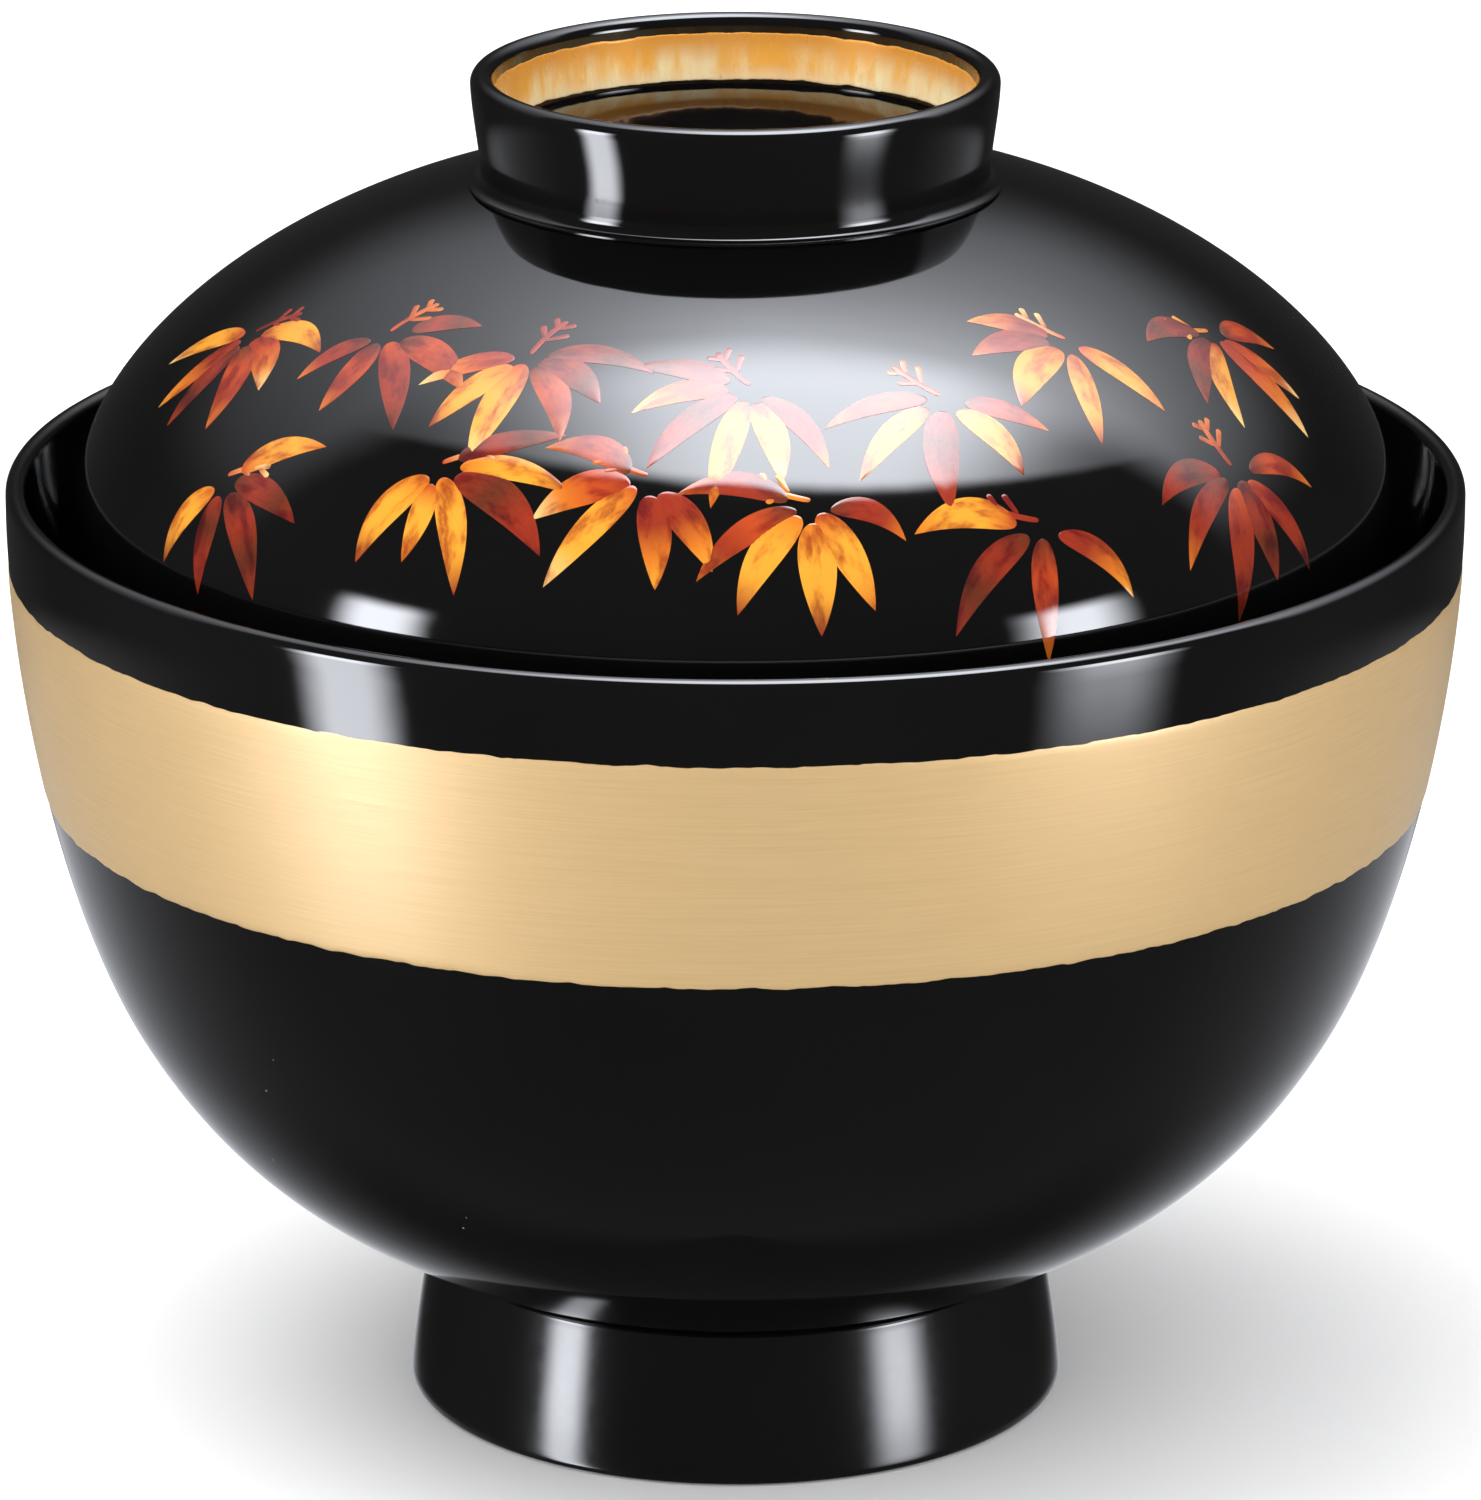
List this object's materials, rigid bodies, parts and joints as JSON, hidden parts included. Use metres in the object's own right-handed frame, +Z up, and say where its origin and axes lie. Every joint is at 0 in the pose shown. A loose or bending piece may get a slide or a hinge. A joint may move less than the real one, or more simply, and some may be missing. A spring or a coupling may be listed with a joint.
{
  "type": "rice bowl",
  "caption": "Deep round rice bowl on a foot ring with a satin gold band round its wall, and a domed lift-off lid that rests inside the rim under a gilded ring knob.",
  "frame": {"origin": "centre of the foot's flat underside, on the table", "axes": "+Z up the bowl's axis, towards the knob; the leaf sprays are on the lid's -Y side"},
  "size_m": [0.12, 0.12, 0.1128],
  "materials": {
    "black_lacquer": "deep black high-gloss lacquer",
    "satin_gold": "satin gold, finely brushed round the wall",
    "leaf_gold": "bright gold leaf with warm upright streaks",
    "leaf_decoration": "red, orange and gold metallic leaf sprays under gloss"
  },
  "bodies": {
    "bowl": {"bowl_shell": "black_lacquer", "foot_ring": "black_lacquer", "gold_band": "satin_gold"},
    "lid": {"lid_dome": "black_lacquer", "lid_knob": "black_lacquer", "knob_gilding": "leaf_gold"}
  },
  "joints": [
    {"name": "lid_lift", "type": "slide", "parent": "bowl", "child": "lid", "axis": [0, 0, 1], "range_m": [0, 0.12]}
  ]
}
